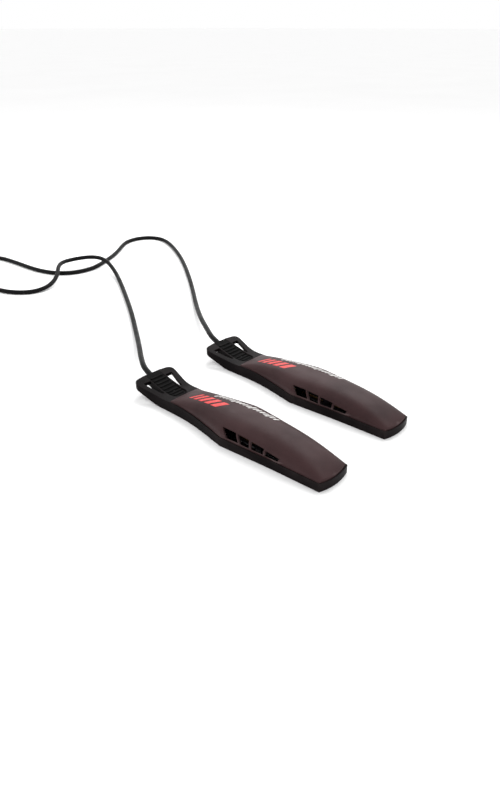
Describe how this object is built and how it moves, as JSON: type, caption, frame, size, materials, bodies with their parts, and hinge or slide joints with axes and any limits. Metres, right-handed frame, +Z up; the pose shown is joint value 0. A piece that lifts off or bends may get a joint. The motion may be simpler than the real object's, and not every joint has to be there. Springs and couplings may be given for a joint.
{
  "type": "boot dryer",
  "caption": "Pair of slim electric boot dryers with slotted upturned handles, ribbed grips, side vents and leads joined to one plug lead.",
  "frame": {"origin": "on the floor, under the middle of the pair of dryers, cords left out", "axes": "+X towards the toes, +Y from the right dryer to the left one, +Z up"},
  "size_m": [0.6714, 0.3743, 0.0213],
  "materials": {
    "shell_plastic": "satin moulded",
    "cover_plastic": "satin moulded",
    "grip_rubber": "matte",
    "inner_plastic": "matte moulded",
    "screw_steel": "zinc plated",
    "foil": "bright foil",
    "heater_aluminium": "black anodised",
    "film": "polyimide film",
    "contact_brass": "satin",
    "ceramic": "dark ceramic",
    "spring_steel": "bright",
    "fuse_metal": "bright",
    "sleeve": "woven glass sleeve",
    "core_brown": "gloss",
    "core_blue": "gloss",
    "cord_jacket": "satin PVC",
    "moulded_rubber": "satin",
    "tie_fabric": "hook and loop",
    "plug_plastic": "fine spark texture",
    "pin_brass": "nickel plated"
  },
  "bodies": {
    "root": {"right_grip_insert": "grip_rubber", "right_lower_shell": "shell_plastic", "right_top_cover": "cover_plastic", "right_cable_clamp": "inner_plastic", "right_case_screws": "screw_steel", "right_clamp_screws": "screw_steel", "right_heat_shield": "foil", "right_heater_base": "heater_aluminium", "right_insulating_films": "film", "right_contact_neutral": "contact_brass", "right_contact_live": "contact_brass", "right_ptc_stones": "ceramic", "right_stone_frame": "inner_plastic", "right_heater_fins": "heater_aluminium", "right_stack_clips": "spring_steel", "right_heater_screws": "screw_steel", "right_thermal_fuse": "fuse_metal", "right_fuse_sleeve": "sleeve", "right_core_live": "core_brown", "right_core_neutral": "core_blue", "right_crimp_terminals": "contact_brass", "left_grip_insert": "grip_rubber", "left_lower_shell": "shell_plastic", "left_top_cover": "cover_plastic", "left_cable_clamp": "inner_plastic", "left_case_screws": "screw_steel", "left_clamp_screws": "screw_steel", "left_heat_shield": "foil", "left_heater_base": "heater_aluminium", "left_insulating_films": "film", "left_contact_neutral": "contact_brass", "left_contact_live": "contact_brass", "left_ptc_stones": "ceramic", "left_stone_frame": "inner_plastic", "left_heater_fins": "heater_aluminium", "left_stack_clips": "spring_steel", "left_heater_screws": "screw_steel", "left_thermal_fuse": "fuse_metal", "left_fuse_sleeve": "sleeve", "left_core_live": "core_brown", "left_core_neutral": "core_blue", "left_crimp_terminals": "contact_brass", "right_lead": "cord_jacket", "left_lead": "cord_jacket", "supply_lead": "cord_jacket", "supply_tail": "cord_jacket", "supply_coil": "cord_jacket", "y_junction": "moulded_rubber", "cord_tie": "tie_fabric", "plug_body": "plug_plastic", "plug_pins": "pin_brass"}
  },
  "joints": []
}
